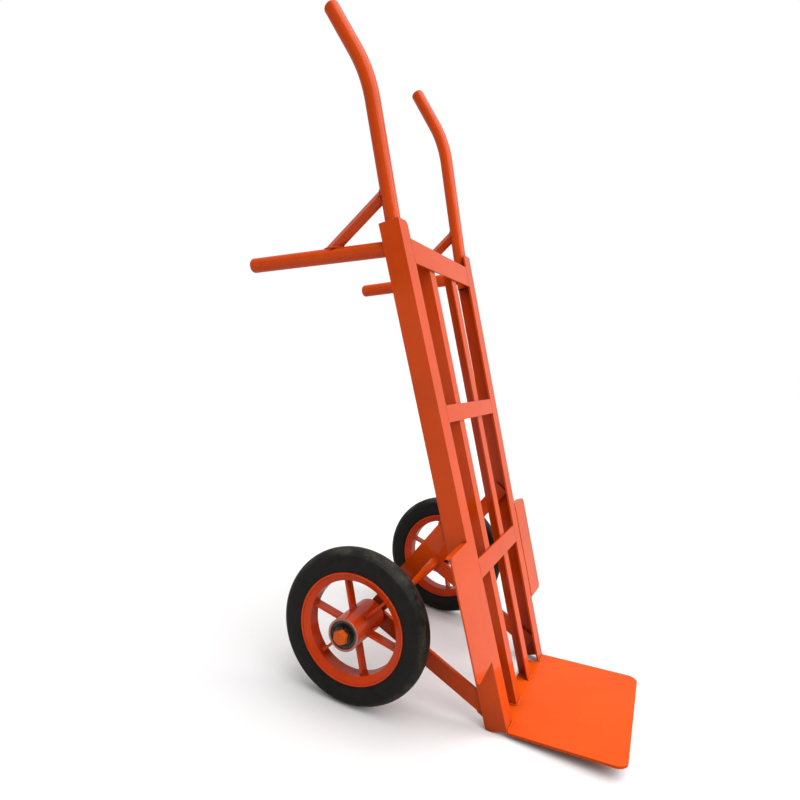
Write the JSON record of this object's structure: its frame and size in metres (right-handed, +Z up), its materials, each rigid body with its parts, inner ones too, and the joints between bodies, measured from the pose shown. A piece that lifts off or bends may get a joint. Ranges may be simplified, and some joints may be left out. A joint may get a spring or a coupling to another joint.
{
  "type": "hand truck",
  "caption": "Welded steel hand truck with a ladder frame, bent handles, rear grips, toe plate, wheel guards and spoked rubber-tyred wheels.",
  "frame": {"origin": "centre of the overall box at floor level", "axes": "+Z up, -Y the way the toe plate points, X along the axle with the operator's right hand at -X"},
  "size_m": [0.623, 0.8816, 1.3209],
  "materials": {
    "frame_paint": "glossy orange enamel over welded steel",
    "toe_plate_paint": "glossy orange enamel",
    "wheel_paint": "glossy orange enamel",
    "bolt_paint": "orange enamel over a plated bolt",
    "bearing_steel": "ground steel",
    "seal_rubber": "satin",
    "tyre_rubber": "smooth solid rubber"
  },
  "bodies": {
    "frame": {"axle_bolt_left": "bolt_paint", "axle_bolt_right": "bolt_paint", "axle_brace_left": "frame_paint", "axle_brace_right": "frame_paint", "axle_strut_left": "frame_paint", "axle_strut_right": "frame_paint", "axle_tube": "frame_paint", "bearing_inner_races_left": "bearing_steel", "bearing_inner_races_right": "bearing_steel", "bearing_spacer_left": "bearing_steel", "bearing_spacer_right": "bearing_steel", "crossbar_lower": "frame_paint", "crossbar_middle": "frame_paint", "crossbar_top": "frame_paint", "diagonal_brace_left": "frame_paint", "diagonal_brace_right": "frame_paint", "flat_washer_left": "bearing_steel", "flat_washer_right": "bearing_steel", "handle_tube_left": "frame_paint", "handle_tube_right": "frame_paint", "inner_bar_left": "frame_paint", "inner_bar_right": "frame_paint", "rear_tube_left": "frame_paint", "rear_tube_right": "frame_paint", "side_rail_left": "frame_paint", "side_rail_right": "frame_paint", "spring_washer_left": "bearing_steel", "spring_washer_right": "bearing_steel", "toe_plate": "toe_plate_paint", "wheel_guard_left": "frame_paint", "wheel_guard_right": "frame_paint"},
    "wheel_right": {"bearing_balls_right": "bearing_steel", "bearing_outer_races_right": "bearing_steel", "bearing_seals_right": "seal_rubber", "hub_right": "wheel_paint", "rim_right": "wheel_paint", "spokes_right": "wheel_paint", "tyre_right": "tyre_rubber"},
    "wheel_left": {"bearing_balls_left": "bearing_steel", "bearing_outer_races_left": "bearing_steel", "bearing_seals_left": "seal_rubber", "hub_left": "wheel_paint", "rim_left": "wheel_paint", "spokes_left": "wheel_paint", "tyre_left": "tyre_rubber"}
  },
  "joints": [
    {"name": "wheel_right_spin", "type": "hinge", "parent": "frame", "child": "wheel_right", "pos_m": [-0.25, 0.0652, 0.15], "axis": [1, 0, 0], "continuous": true},
    {"name": "wheel_left_spin", "type": "hinge", "parent": "frame", "child": "wheel_left", "pos_m": [0.25, 0.0652, 0.15], "axis": [1, 0, 0], "continuous": true}
  ]
}
